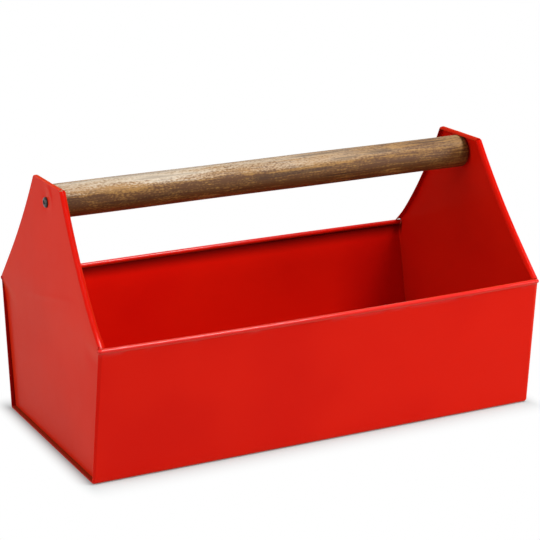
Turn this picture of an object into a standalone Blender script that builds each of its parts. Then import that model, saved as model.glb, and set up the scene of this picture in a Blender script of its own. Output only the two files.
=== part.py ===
"""Handled planter box: a bent sheet-metal trough, two end panels, a dowel handle and its two screws.

Units are metres, +Z is up, X runs along the box and the origin is on the floor under the box's middle.
The front wall is at negative Y. Both halves of every sheet are alike, so a shape is worked out once for
the half at positive Y, as (distance from the middle, height), and mirrored.

A sheet is modelled as the face that shows: rows of points joined by strips of quads. A Solidify
modifier then gives it the sheet's thickness on its other side.
"""
from math import acos, asin, cos, hypot, pi, radians, sin

import bmesh
import bpy
from mathutils import Vector

# Driving dimensions of the box
LENGTH_FLOOR = 0.4064          # over the folded rims at the floor
LENGTH_WALL_TOP = 0.400        # over the end panels at the top of the walls
LENGTH_PEAK = 0.391            # over the end panels at their peaks
WIDTH_FLOOR = 0.2008           # between the virtual corners of floor and walls
WIDTH_WALL_TOP = 0.2384        # over the beads
WALL_HEIGHT = 0.117            # to the top of the beads
PEAK_HEIGHT = 0.2236
PEAK_WIDTH = 0.0636
SLANT_SAG = 0.0045             # the slanted edges are this hollow at their middle

# Sheet, folds and gaps
SHEET = 0.0006
GAP = 0.0003
CORNER_RADIUS = 0.0032         # outside, between floor and walls
CORNER_STEPS = 5
RIM_RADIUS = 0.0012            # outside, of the fold along each end of the trough
RIM_STEPS = 6
RIM_TOP = 0.097                # the fold ends at this height
RIM_RELIEF = 0.0014            # from there up to the plain edge above it
BEAD_RADIUS = 0.0021
BEAD_PROUD = 0.0009            # the bead stands this far out of the wall's outer face
BEAD_END = radians(250)        # the roll stops here, counted from its outermost point
BEAD_STEPS = 13

# End panels
PANEL_INSET = 0.005            # the face lies this deep in the rim at the floor
RETURN_CLEARANCE = 0.001       # from the rim's inner edge to the panel's face
KINK_HEIGHT = 0.134            # above this the panel leans inwards
FLANGE_BEND = 0.0008           # inner radius of the bend into the flange that the rim holds
FLANGE_STEPS = 3
FLANGE_TIP_CLEARANCE = 0.0015  # from the rim's end to the flange's tip
FLANGE_STOP = 0.002            # the flange stops this far below the rim's top
SETBACK_STEPS = 4              # rows of the face above the rim, where it comes out level with the bead
BEAD_NOTCH = 0.0004            # clearance of the corner cut-out round the bead's end
EDGE_BEND = 0.0012             # outer radius of the bend along the slants and the peak
EDGE_STEPS = 4
EDGE_CREST = 0.0027            # the inward flange is level to this depth
EDGE_DEPTH = 0.0055            # its lip ends here
LIP_STEPS = 3
LIP_CURL = 1.5                 # the lip's drop grows with this power of the way along it
SLANT_LIP_DROP = 0.0019
PEAK_LIP_DROP = 0.0006
SLANT_START_HEIGHT = 0.1181
SLANT_START_INSET = 0.0003     # inside the wall's outer face at the bead
SLANT_STEPS = 8
SLANT_FLANGE_START = 0.0027    # the slant's flange starts this far up the slant, clear of the bead
PEAK_NOTCH = 0.0015            # both inward flanges stop this far from the peak's corner
SCREW_HOLE_RADIUS = 0.0026
HOLE_REACH = 0.02              # the hole's cutter runs this far to both sides of the panel

# Handle and screws
HANDLE_RADIUS = 0.0143
HANDLE_HEIGHT = 0.2072         # axis above the floor
HANDLE_SIDES = 48
HANDLE_EASE = 0.003            # rounding of the dowel's ends
HANDLE_EASE_STEPS = 3
PILOT_RADIUS = 0.0023
PILOT_DEPTH = 0.028
SHANK_RADIUS = 0.0020
SHANK_LENGTH = 0.026
SHANK_TIP = 0.005
HEAD_RADIUS = 0.0048
HEAD_HEIGHT = 0.0022
HEAD_SIDE = 0.0008             # straight part of the head's side
HEAD_DOME_STEPS = 5
SCREW_STEPS = 28
SOCKET_RADIUS = 0.0021         # to the hexagon's corners
SOCKET_DEPTH = 0.0013
SOCKET_SIDES = 6

MERGE = 0.00001
SMOOTH_ANGLE = radians(35)

# The walls lean outwards so that their outer face passes just inside the beads
BEAD_MIDDLE = Vector((WIDTH_WALL_TOP / 2 - BEAD_RADIUS, WALL_HEIGHT - BEAD_RADIUS))
WALL_TOP_FACE = WIDTH_WALL_TOP / 2 - BEAD_PROUD
FLARE_TAN = (WALL_TOP_FACE - WIDTH_FLOOR / 2) / BEAD_MIDDLE.y
FLARE_COS = 1 / hypot(1, FLARE_TAN)
FLARE_SIN = FLARE_TAN * FLARE_COS
WALL_INWARD = Vector((-FLARE_COS, FLARE_SIN))
CORNER_MIDDLE = Vector((WIDTH_FLOOR / 2 - CORNER_RADIUS * (1 - FLARE_SIN) / FLARE_COS, CORNER_RADIUS))
CORNER_TURN = pi / 2 - asin(FLARE_SIN)

# Layers at the seams, as depths inside the trough's outer face
PANEL_EDGE_DEPTH = SHEET + GAP                       # outermost edge of the panel
FLANGE_FACE_DEPTH = PANEL_EDGE_DEPTH + SHEET         # upper face of the flange that the rim holds
FLAT_EDGE_DEPTH = FLANGE_FACE_DEPTH + FLANGE_BEND    # here the panel's flat face starts
PANEL_FLOOR_FACE = LENGTH_FLOOR / 2 - PANEL_INSET

# The cut-out beside the bead, and the panel's inner columns of points in line with it
NOTCH_BOTTOM = BEAD_MIDDLE.y - BEAD_RADIUS - BEAD_NOTCH
NOTCH_SIDE = BEAD_MIDDLE.x - BEAD_RADIUS - BEAD_NOTCH
COLUMN_INSET = WIDTH_FLOOR / 2 + FLARE_TAN * NOTCH_BOTTOM - PANEL_EDGE_DEPTH / FLARE_COS - NOTCH_SIDE


def rim_end(z):
    """Half-length of the trough over its folded ends at height z."""
    return (LENGTH_FLOOR + (LENGTH_WALL_TOP - LENGTH_FLOOR) * z / WALL_HEIGHT) / 2


def panel_face(z):
    """Distance of an end panel's outer face from the box's middle at height z."""
    if z > KINK_HEIGHT:
        lean = (z - KINK_HEIGHT) / (PEAK_HEIGHT - KINK_HEIGHT)
        return (LENGTH_WALL_TOP + (LENGTH_PEAK - LENGTH_WALL_TOP) * lean) / 2
    rise = min(1, max(0, (z - RIM_TOP) / (WALL_HEIGHT - RIM_TOP)))
    eased = rise * rise * (3 - 2 * rise)
    return PANEL_FLOOR_FACE + (LENGTH_WALL_TOP / 2 - PANEL_FLOOR_FACE) * eased


def wall_point(z, depth=0):
    """Point at height z and this deep inside the wall's outer face."""
    return Vector((WIDTH_FLOOR / 2 + FLARE_TAN * z - depth / FLARE_COS, z))


def corner_stations():
    """Points of the outer face round the bend from floor to wall, each with its inward normal."""
    stations = []
    for i in range(CORNER_STEPS + 1):
        turn = CORNER_TURN * i / CORNER_STEPS
        inward = Vector((-sin(turn), cos(turn)))
        stations.append((CORNER_MIDDLE - CORNER_RADIUS * inward, inward))
    return stations


def bead_points():
    """Points of the roll's outer face, from the crease at the wall over the top and round."""
    wall_distance = (BEAD_RADIUS - BEAD_PROUD) * FLARE_COS
    start = -asin(FLARE_SIN) - acos(wall_distance / BEAD_RADIUS)
    points = []
    for i in range(BEAD_STEPS + 1):
        a = start + (BEAD_END - start) * i / BEAD_STEPS
        points.append(BEAD_MIDDLE + BEAD_RADIUS * Vector((cos(a), sin(a))))
    return points


def strips(bm, rows):
    """Quads between each row of points and the next."""
    for row_a, row_b in zip(rows, rows[1:]):
        a = [bm.verts.new(p) for p in row_a]
        b = [bm.verts.new(p) for p in row_b]
        for i in range(len(a) - 1):
            bm.faces.new((a[i], a[i + 1], b[i + 1], b[i]))


def at_side(rows, side):
    """The rows as they are for side 1, or mirrored to negative Y for side -1."""
    return [[Vector((p.x, side * p.y, p.z)) for p in row] for row in rows]


def join_strips(bm, outward):
    """Merges the strips into one sheet whose largest face looks along outward."""
    bmesh.ops.remove_doubles(bm, verts=bm.verts, dist=MERGE)
    bmesh.ops.recalc_face_normals(bm, faces=bm.faces)
    largest = max(bm.faces, key=lambda face: face.calc_area())
    if largest.normal.dot(outward) < 0:
        bmesh.ops.reverse_faces(bm, faces=bm.faces)


def new_object(name, bm, material=None):
    mesh = bpy.data.meshes.new(name)
    bm.to_mesh(mesh)
    bm.free()
    mesh.shade_smooth()
    mesh.set_sharp_from_angle(angle=SMOOTH_ANGLE)
    if material:
        mesh.materials.append(material)
    obj = bpy.data.objects.new(name, mesh)
    bpy.context.scene.collection.objects.link(obj)
    return obj


def thicken(obj):
    """Gives a sheet its thickness, on the far side of the face that was modelled."""
    solidify = obj.modifiers.new("sheet", "SOLIDIFY")
    solidify.thickness = SHEET
    solidify.offset = -1
    solidify.use_even_offset = True


def cut(obj, cutter):
    cutter.hide_render = True
    cutter.display_type = "WIRE"
    boolean = obj.modifiers.new(cutter.name, "BOOLEAN")
    boolean.operation = "DIFFERENCE"
    boolean.object = cutter


def axis_rod(name, radius, end_a, end_b, sides):
    """Cutter: a cylinder on the handle's axis, between two places along X."""
    bm = bmesh.new()
    bmesh.ops.create_cone(bm, cap_ends=True, segments=sides, radius1=radius, radius2=radius,
                          depth=abs(end_b - end_a))
    rod = new_object(name, bm)
    rod.rotation_euler = (0, pi / 2, 0)
    rod.location = ((end_a + end_b) / 2, 0, HANDLE_HEIGHT)
    return rod


def principled(name, color, roughness, metallic):
    material = bpy.data.materials.new(name)
    material.use_nodes = True
    shader = material.node_tree.nodes["Principled BSDF"]
    shader.inputs["Base Color"].default_value = (*color, 1)
    shader.inputs["Roughness"].default_value = roughness
    shader.inputs["Metallic"].default_value = metallic
    return material


def wrap_row(point, half_section, inward=WALL_INWARD):
    """One row across the box: the section of one end, as (x, depth) pairs, and its mirror image."""
    right = []
    for x, depth in half_section:
        place = point + depth * inward
        right.append(Vector((x, place.x, place.y)))
    left = [Vector((-p.x, p.y, p.z)) for p in reversed(right)]
    return left + right


def rim_section(z):
    """End of the trough where it is folded round: half a circle, then a return towards the panel."""
    section = []
    for i in range(RIM_STEPS + 1):
        a = pi * i / RIM_STEPS
        section.append((rim_end(z) - RIM_RADIUS * (1 - sin(a)), RIM_RADIUS * (1 - cos(a))))
    section.append((PANEL_FLOOR_FACE + RETURN_CLEARANCE, 2 * RIM_RADIUS))
    return section


def make_wrap(material):
    """Front wall, floor and rear wall in one sheet, with rolled top edges and folded ends."""
    folded = []
    for point, inward in corner_stations():
        folded.append(wrap_row(point, rim_section(point.y), inward))
    folded.append(wrap_row(wall_point(RIM_TOP), rim_section(RIM_TOP)))

    plain_start = RIM_TOP + RIM_RELIEF
    plain = [wrap_row(wall_point(RIM_TOP), rim_section(RIM_TOP)[:1])]
    plain.append(wrap_row(wall_point(plain_start), [(rim_end(plain_start), 0)]))
    for point in bead_points():
        plain.append(wrap_row(point, [(LENGTH_WALL_TOP / 2, 0)]))

    bm = bmesh.new()
    for side in (-1, 1):
        strips(bm, at_side(folded, side))
        strips(bm, at_side(plain, side))
    strips(bm, at_side(folded[:1], 1) + at_side(folded[:1], -1))
    join_strips(bm, Vector((0, 0, -1)))
    thicken(new_object("body_wrap", bm, material))


def slant_point(t):
    """Point and outward normal of the slanted edge, from above the bead (0) to the peak's corner (1)."""
    low = Vector((WALL_TOP_FACE - SLANT_START_INSET, SLANT_START_HEIGHT))
    high = Vector((PEAK_WIDTH / 2, PEAK_HEIGHT))
    chord = high - low
    chord_out = Vector((chord.y, -chord.x)).normalized()
    place = low + chord * t - chord_out * (4 * SLANT_SAG * t * (1 - t))
    along = chord - chord_out * (4 * SLANT_SAG * (1 - 2 * t))
    return place, Vector((along.y, -along.x)).normalized()


def inward_flange(edge, outward, drop):
    """Section of an inward flange at a point of the panel's outline: bend, level part and lip."""
    section = []
    for i in range(EDGE_STEPS + 1):
        a = pi / 2 * i / EDGE_STEPS
        section.append((EDGE_BEND * (1 - cos(a)), EDGE_BEND * (sin(a) - 1)))
    for i in range(LIP_STEPS + 1):
        t = i / LIP_STEPS
        section.append((EDGE_CREST + (EDGE_DEPTH - EDGE_CREST) * t, -drop * t ** LIP_CURL))
    face = panel_face((edge - EDGE_BEND * outward).y)
    row = []
    for depth, rise in section:
        place = edge + rise * outward
        row.append(Vector((face - depth, place.x, place.y)))
    return row


def held_flange(point, inward):
    """Section of the outward flange that the trough's rim holds, below a point of the trough's face."""
    face = panel_face((point + FLAT_EDGE_DEPTH * inward).y)
    section = []
    for i in range(FLANGE_STEPS + 1):
        a = pi / 2 * i / FLANGE_STEPS
        section.append((face + FLANGE_BEND * (1 - cos(a)), FLAT_EDGE_DEPTH - FLANGE_BEND * sin(a)))
    section.append((rim_end(point.y) - FLANGE_TIP_CLEARANCE, FLANGE_FACE_DEPTH))
    row = []
    for x, depth in section:
        place = point + depth * inward
        row.append(Vector((x, place.x, place.y)))
    return row


def face_row(edge, column):
    """Level row of the panel's face: its edge, an inner column, and both mirrored."""
    x = panel_face(edge.y)
    return [Vector((x, y, edge.y)) for y in (edge.x, column, -column, -edge.x)]


def lower_face(held_rows):
    """Rows of the face from the floor to the bottom of the cut-outs beside the beads."""
    edges = [Vector((row[0].y, row[0].z)) for row in held_rows]
    edges.append(wall_point(RIM_TOP, FLAT_EDGE_DEPTH))
    start = RIM_TOP + RIM_RELIEF
    for i in range(SETBACK_STEPS + 1):
        edges.append(wall_point(start + (NOTCH_BOTTOM - start) * i / SETBACK_STEPS, PANEL_EDGE_DEPTH))
    return [face_row(edge, edge.x - COLUMN_INSET) for edge in edges]


def upper_face(slant_rows, peak_column):
    """Rows of the face between the slants, from the beads to the peak."""
    start, outward = slant_point(0)
    rows = [face_row(start - EDGE_BEND * outward, NOTCH_SIDE)]
    for row in slant_rows:
        rows.append(face_row(Vector((row[0].y, row[0].z)), row[0].y - COLUMN_INSET))
    top = Vector((peak_column + PEAK_NOTCH, PEAK_HEIGHT - EDGE_BEND))
    rows.append(face_row(top, peak_column))
    return rows


def slant_flange_rows():
    """The slants' flange sections, from above the beads to the cut-outs at the peak."""
    span = (slant_point(1)[0] - slant_point(0)[0]).length
    first = SLANT_FLANGE_START / span
    last = 1 - PEAK_NOTCH / span
    rows = []
    for i in range(SLANT_STEPS + 1):
        edge, outward = slant_point(first + (last - first) * i / SLANT_STEPS)
        rows.append(inward_flange(edge, outward, SLANT_LIP_DROP))
    return rows


def make_panel(name, side, material):
    """End panel on the side -1 or 1: a house-shaped sheet with all its edges folded."""
    held_rows = [held_flange(*station) for station in corner_stations()]
    flange_top = RIM_TOP - FLANGE_STOP
    held_rows.append(held_flange(wall_point(flange_top), WALL_INWARD))
    slant_rows = slant_flange_rows()
    peak_column = PEAK_WIDTH / 2 - EDGE_BEND - PEAK_NOTCH
    peak_row = inward_flange(Vector((peak_column, PEAK_HEIGHT)), Vector((0, 1)), PEAK_LIP_DROP)
    lower = lower_face(held_rows)
    upper = upper_face(slant_rows, peak_column)

    bm = bmesh.new()
    strips(bm, lower)
    strips(bm, [lower[-1][1:3], upper[0][1:3]])
    strips(bm, upper)
    strips(bm, [[Vector((p.x, column.y, p.z)) for p in held_rows[0]] for column in lower[0]])
    strips(bm, at_side([peak_row], 1) + at_side([peak_row], -1))
    for half in (-1, 1):
        strips(bm, at_side(held_rows, half))
        strips(bm, at_side(slant_rows, half))
    for vertex in bm.verts:
        vertex.co.x *= side
    join_strips(bm, Vector((side, 0, 0)))
    panel = new_object(name, bm, material)
    thicken(panel)
    face = side * panel_face(HANDLE_HEIGHT)
    cut(panel, axis_rod(name + "_hole", SCREW_HOLE_RADIUS, face - HOLE_REACH, face + HOLE_REACH, SCREW_STEPS))


def make_handle(axis, material):
    """Round dowel along X with rounded ends, and a pilot hole for a screw in each."""
    eased_top = HANDLE_HEIGHT + HANDLE_RADIUS - HANDLE_EASE
    half_length = panel_face(eased_top) - SHEET - GAP
    bm = bmesh.new()
    bmesh.ops.create_cone(bm, cap_ends=True, segments=HANDLE_SIDES, radius1=HANDLE_RADIUS,
                          radius2=HANDLE_RADIUS, depth=2 * half_length)
    end_edges = [e for e in bm.edges if abs(e.verts[0].co.z - e.verts[1].co.z) < MERGE]
    bmesh.ops.bevel(bm, geom=end_edges, offset=HANDLE_EASE, segments=HANDLE_EASE_STEPS, profile=0.5,
                    affect="EDGES")
    handle = new_object("wooden_handle", bm, material)
    handle.parent = axis
    handle.rotation_euler = (0, pi / 2, 0)
    for name, side in (("left_pilot_hole", -1), ("right_pilot_hole", 1)):
        outer_end = side * (half_length + GAP)
        inner_end = side * (half_length - PILOT_DEPTH)
        cut(handle, axis_rod(name, PILOT_RADIUS, inner_end, outer_end, SCREW_STEPS))


def screw_outline():
    """The screw's profile from its tip to the top of its head, as (distance from the axis, height)."""
    outline = [(0, -SHANK_LENGTH), (SHANK_RADIUS, SHANK_TIP - SHANK_LENGTH), (SHANK_RADIUS, 0)]
    for i in range(HEAD_DOME_STEPS + 1):
        a = pi / 2 * i / HEAD_DOME_STEPS
        rise = (HEAD_HEIGHT - HEAD_SIDE) * sin(a)
        outline.append((HEAD_RADIUS * cos(a), HEAD_SIDE + rise))
    outline.insert(3, (HEAD_RADIUS, 0))
    return outline


def make_screw(name, side, axis, material):
    """Dome-headed wood screw with a hexagon socket, its head outside the panel."""
    bm = bmesh.new()
    verts = [bm.verts.new((radius, 0, height)) for radius, height in screw_outline()]
    edges = [bm.edges.new(pair) for pair in zip(verts, verts[1:])]
    bmesh.ops.spin(bm, geom=verts + edges, cent=(0, 0, 0), axis=(0, 0, 1), angle=2 * pi, steps=SCREW_STEPS)
    bmesh.ops.remove_doubles(bm, verts=bm.verts, dist=MERGE)
    bmesh.ops.recalc_face_normals(bm, faces=bm.faces)
    screw = new_object(name, bm, material)
    screw.parent = axis
    screw.rotation_euler = (0, side * pi / 2, 0)
    seat = panel_face(HANDLE_HEIGHT - HEAD_RADIUS) + GAP
    screw.location = (side * seat, 0, 0)
    socket_floor = side * (seat + HEAD_HEIGHT - SOCKET_DEPTH)
    outside = side * (seat + HEAD_HEIGHT + SOCKET_DEPTH)
    cut(screw, axis_rod(name + "_socket", SOCKET_RADIUS, socket_floor, outside, SOCKET_SIDES))


def main():
    for obj in list(bpy.data.objects):
        bpy.data.objects.remove(obj, do_unlink=True)
    red = principled("red_paint", (0.62, 0.012, 0.008), 0.22, 0.0)
    wood = principled("stained_wood", (0.30, 0.16, 0.07), 0.42, 0.0)
    black = principled("black_screw", (0.012, 0.012, 0.014), 0.35, 1.0)

    make_wrap(red)
    make_panel("left_end_panel", -1, red)
    make_panel("right_end_panel", 1, red)
    axis = bpy.data.objects.new("handle_axis", None)
    bpy.context.scene.collection.objects.link(axis)
    axis.location = (0, 0, HANDLE_HEIGHT)
    make_handle(axis, wood)
    make_screw("left_screw", -1, axis, black)
    make_screw("right_screw", 1, axis, black)
    bpy.context.view_layer.update()


main()
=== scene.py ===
# %% [markdown]
# A toolbox-shaped planter box, dressed around its working model.
#
# The real thing is folded from thin steel sheet and painted red: one sheet makes the front wall, the
# floor and the rear wall, two house-shaped panels close the ends, and a stained wooden dowel between
# their peaks is the carrying handle, held by a black screw at each end. The working model already has
# every piece at its real size. This lesson makes the fine surface of each piece again as a grid of
# points worked out with numpy, gives it a finish, and lights it like a studio photograph.
# Lengths are metres, X runs along the box, Y towards its rear wall and Z up.

# %% Load the frame
from math import asin, cos, hypot, pi, radians, sin

import bmesh
import bpy
import numpy as np
from mathutils import Matrix, Vector


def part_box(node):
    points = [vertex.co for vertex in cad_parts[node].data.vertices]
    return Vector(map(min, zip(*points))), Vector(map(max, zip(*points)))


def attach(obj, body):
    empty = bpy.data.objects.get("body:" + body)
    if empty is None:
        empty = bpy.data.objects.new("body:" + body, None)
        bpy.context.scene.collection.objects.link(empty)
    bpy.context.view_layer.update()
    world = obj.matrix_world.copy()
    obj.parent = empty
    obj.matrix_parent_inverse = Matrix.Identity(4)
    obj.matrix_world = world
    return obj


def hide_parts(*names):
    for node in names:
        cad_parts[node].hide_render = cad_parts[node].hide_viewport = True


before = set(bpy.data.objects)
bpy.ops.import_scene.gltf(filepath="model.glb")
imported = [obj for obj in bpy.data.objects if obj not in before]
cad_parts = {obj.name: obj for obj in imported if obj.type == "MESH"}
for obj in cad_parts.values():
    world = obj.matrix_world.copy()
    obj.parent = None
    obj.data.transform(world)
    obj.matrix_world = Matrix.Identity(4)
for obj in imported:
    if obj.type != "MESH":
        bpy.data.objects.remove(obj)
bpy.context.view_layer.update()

# %% [markdown]
# The camera comes first, because every later choice is judged through it. Its place and lens were
# worked out from the box's corners in the photograph: a long lens, a little above the box and to its
# left. Blender's camera looks along its own -Z, so its matrix is built from three axes: right, up and
# back. The photograph is tilted by about one degree, which turns right and up round the viewing axis.

# %% Camera
CAMERA_AZIMUTH = radians(-25.76)
CAMERA_ELEVATION = radians(15.99)
CAMERA_ROLL = radians(-0.91)
CAMERA_DISTANCE = 1.63407
CAMERA_TARGET = Vector((0.0033, 0, 0.1227))
CAMERA_LENS = 126.39                   # millimetres, for a sensor 36 mm wide
CAMERA_SIGHT = 20                      # the camera sees this far


def add_object(name, data):
    obj = bpy.data.objects.new(name, data)
    bpy.context.scene.collection.objects.link(obj)
    return obj


def stand(obj, place, right, back):
    """Puts a camera or lamp at a place, with its X axis along right and its Z axis along back."""
    turn = Matrix((right, back.cross(right), back)).transposed().to_4x4()
    obj.matrix_world = Matrix.Translation(place) @ turn


def make_camera():
    """A camera on a sphere round the target, looking at it, turned by the roll about its own axis."""
    azimuth, elevation = CAMERA_AZIMUTH, CAMERA_ELEVATION
    back = Vector((sin(azimuth) * cos(elevation), -cos(azimuth) * cos(elevation), sin(elevation)))
    level = Vector((cos(azimuth), sin(azimuth), 0))
    right = level * cos(CAMERA_ROLL) + back.cross(level) * sin(CAMERA_ROLL)
    data = bpy.data.cameras.new("studio_camera")
    data.lens = CAMERA_LENS
    data.clip_end = CAMERA_SIGHT
    camera = add_object("studio_camera", data)
    stand(camera, CAMERA_TARGET + back * CAMERA_DISTANCE, right, back)
    bpy.context.scene.camera = camera
    print("camera at", [round(v, 3) for v in camera.location])


make_camera()

# %% [markdown]
# Every surface here is a grid: an array of points with rows, columns and xyz. A sheet of metal is
# several grids that share their border points, so they are merged by distance and Solidify then gives
# the sheet its thickness. A small bevel rounds the cut edges, as paint does, so that they catch light.
# Doing it this way keeps each formula short, and a fold is only one more grid along a border.
#
# A grid can carry a second thing, its gloss mark. It is above 0 where the enamel has flowed together and
# shines, and below 0 where it is thin and dull, and there the paint also takes a share of painted shade.
# The paint reads it later as an attribute of the points.

# %% From grids of points to pieces
MERGE_DISTANCE = 0.000005
COLLAPSE_DISTANCE = 0.000000001        # edges of no length, left over by the modifiers, are taken out
SHARP_ANGLE = radians(38)
CUT_EDGE_ROUND = 0.00014
CUT_EDGE_ANGLE = radians(60)

spaced = np.linspace                   # evenly spaced values from a start to an end
join = np.concatenate


def stack(parts):
    """Points whose coordinates are the given arrays."""
    return np.stack(parts, axis=-1)


def in_space(x, flat):
    """Puts X in front of points that have only Y and Z."""
    return join([x[..., None], flat], axis=-1)


def grid_faces(rows, columns):
    """Quads between each row of a grid and the next, as indices into its points."""
    index = np.arange(rows * columns).reshape(rows, columns)
    corners = [index[:-1, :-1], index[:-1, 1:], index[1:, 1:], index[1:, :-1]]
    return stack(corners).reshape(-1, 4)


def mesh_of_grids(name, grids, gloss=()):
    """One mesh of several grids, with shared points merged and faces that point the same way.

    If gloss is given, it has the marks of each grid, as one value or an array.
    """
    points = [patch.reshape(-1, 3) for patch in grids]
    starts = np.cumsum([0] + [len(p) for p in points[:-1]])
    faces = [grid_faces(*patch.shape[:2]) + start for patch, start in zip(grids, starts)]
    mesh = bpy.data.meshes.new(name)
    mesh.from_pydata(join(points).tolist(), [], join(faces).tolist())
    if len(gloss):
        values = [np.broadcast_to(g, patch.shape[:2]).ravel() for g, patch in zip(gloss, grids)]
        attribute = mesh.attributes.new("gloss", "FLOAT", "POINT")
        attribute.data.foreach_set("value", join(values).astype(np.float32))
    bm = bmesh.new()
    bm.from_mesh(mesh)
    bmesh.ops.remove_doubles(bm, verts=bm.verts, dist=MERGE_DISTANCE)
    bmesh.ops.recalc_face_normals(bm, faces=bm.faces)
    bm.to_mesh(mesh)
    bm.free()
    return mesh


def face_outwards(mesh, outward):
    """Flips the mesh if its largest face looks away from the direction outward."""
    areas = np.empty(len(mesh.polygons))
    mesh.polygons.foreach_get("area", areas)
    largest = mesh.polygons[int(areas.argmax())]
    if largest.normal.dot(Vector(outward)) < 0:
        mesh.flip_normals()


def finished(obj):
    """The piece with its modifiers applied to its mesh, shaded smooth but for its sharp edges."""
    graph = bpy.context.evaluated_depsgraph_get()
    mesh = bpy.data.meshes.new_from_object(obj.evaluated_get(graph))
    bm = bmesh.new()
    bm.from_mesh(mesh)
    bmesh.ops.dissolve_degenerate(bm, dist=COLLAPSE_DISTANCE, edges=bm.edges)
    bm.to_mesh(mesh)
    bm.free()
    obj.modifiers.clear()
    obj.data = mesh
    mesh.shade_smooth()
    mesh.set_sharp_from_angle(angle=SHARP_ANGLE)
    triangles = sum(len(p.vertices) - 2 for p in mesh.polygons)
    print(obj.name, "has", triangles, "triangles")
    return obj


def sheet_piece(name, grids, gloss, outward, thickness):
    """A piece of sheet metal: the grids are the face that shows, and its thickness lies behind them."""
    mesh = mesh_of_grids(name, grids, gloss)
    face_outwards(mesh, outward)
    obj = add_object(name, mesh)
    solid = obj.modifiers.new("sheet", "SOLIDIFY")
    solid.thickness = thickness
    solid.offset = -1
    solid.use_even_offset = True
    edges = obj.modifiers.new("cut edges", "BEVEL")
    edges.width = CUT_EDGE_ROUND
    edges.segments = 2
    edges.limit_method = "ANGLE"
    edges.angle_limit = CUT_EDGE_ANGLE
    bpy.context.view_layer.update()
    return finished(obj)


def ease(value):
    """Rises from 0 to 1 with level ends: three squares less two cubes."""
    t = np.clip(value, 0, 1)
    return t * t * (3 - 2 * t)


print("grid helpers ready")

# %% [markdown]
# The sizes below are the same few that drive the working model. Those that the frame can tell are
# measured on it: the overall length, the width over the beads and the height of the peaks. The rest,
# such as the sheet's thickness and the radii of its folds, are named here once.

# %% Sizes of the box
wrap_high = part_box("body_wrap")[1]
HALF_FLOOR = wrap_high.x               # half-length over the folded rims at the floor
HALF_WALL_TOP = 0.200                  # half-length over the end panels at the top of the walls
HALF_PEAK = 0.1955                     # and at their peaks
HALF_WIDTH = wrap_high.y               # to the outside of the beads
WALL_HEIGHT = wrap_high.z
PEAK_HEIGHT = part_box("right_end_panel")[1].z
HALF_PEAK_WIDTH = 0.0318
FLOOR_CORNER = 0.1004                  # where floor and wall would meet without their bend

SHEET = 0.0006
SEAM_GAP = 0.0003
CORNER_RADIUS = 0.0032
BEAD_RADIUS = 0.00208
BEAD_PROUD = 0.0009                    # the bead stands this far out of the wall's outer face
BEAD_FILLET = 0.0008
BEAD_CLOSE = radians(250)              # the roll ends here, counted from its outermost point
BEAD_END_LENGTH = 0.0013               # the roll narrows over this length at each end
BEAD_OVERHANG = 0.0006                 # and reaches this far beyond the end panel
BEAD_END_RADIUS = 0.00062

RIM_TOP = 0.104                        # the fold along each end of the trough stops here
PANEL_INSET = 0.0036                   # the end panel lies this deep in the rim at the floor
PANEL_LEAN = 0.018                     # and leans inwards by this slope on the way up
SIDE_SETBACK = (0.100, 0.118)          # at its sides it comes out of the recess between these heights
RETURN_CLEARANCE = 0.0004

bead_y = HALF_WIDTH - BEAD_RADIUS
bead_z = WALL_HEIGHT - BEAD_RADIUS
flare = (HALF_WIDTH - BEAD_PROUD - FLOOR_CORNER) / bead_z
flare_cos = 1 / hypot(1, flare)
flare_sin = flare * flare_cos
BEAD_MIDDLE = np.array([bead_y, bead_z])
WALL_INWARD = np.array([-flare_cos, flare_sin])


def on_wall(z):
    """Places on the wall's outer face at the heights z."""
    return stack([FLOOR_CORNER + flare * z, z])


print("walls lean out by", round(np.degrees(asin(flare_sin)), 2), "degrees")

# %% [markdown]
# The trough is one long sheet bent across its width. A section across the box is a curve in Y and Z:
# half the floor, the round corner, the leaning wall, a small hollow where the wall turns out under the
# bead, and the bead itself, which is a roll of nearly three quarters of a turn. Each point also keeps
# the direction into the sheet, which the folded ends need.

# %% Section across the trough
FLOOR_COLUMNS = 13
CORNER_COLUMNS = 9
WALL_COLUMNS = 34
FILLET_COLUMNS = 6
ROLL_COLUMNS = 34
DULL_ROLL_COLUMNS = 3


def trough_section():
    """Half section from the middle of the floor to the hollow under the bead.

    Floor: a level line. Corner: an arc about its own middle, from straight down to the wall's lean.
    Wall: a straight line that leans out by the flare. Returns the places and the inward directions.
    """
    middle_y = FLOOR_CORNER - CORNER_RADIUS * (1 - flare_sin) / flare_cos
    turn = spaced(0, pi / 2 - asin(flare_sin), CORNER_COLUMNS)
    corner_inward = stack([-np.sin(turn), np.cos(turn)])
    corner = np.array([middle_y, CORNER_RADIUS]) - CORNER_RADIUS * corner_inward
    floor_y = spaced(0, middle_y, FLOOR_COLUMNS)[:-1]
    floor = stack([floor_y, 0 * floor_y])
    floor_inward = stack([0 * floor_y, 0 * floor_y + 1])
    wall = on_wall(spaced(corner[-1, 1], fillet_start()[1], WALL_COLUMNS)[1:])
    places = join([floor, corner, wall])
    return places, join([floor_inward, corner_inward, 0 * wall + WALL_INWARD])


def fillet_middle():
    """Middle of the hollow: its circle touches the wall's face and the bead's circle from outside."""
    behind = (BEAD_RADIUS - BEAD_PROUD) * flare_cos
    below = ((BEAD_RADIUS + BEAD_FILLET) ** 2 - (BEAD_FILLET + behind) ** 2) ** 0.5
    along = np.array([flare_sin, flare_cos])
    return BEAD_MIDDLE - WALL_INWARD * (BEAD_FILLET + behind) - along * below


def fillet_start():
    return fillet_middle() + BEAD_FILLET * WALL_INWARD


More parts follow.
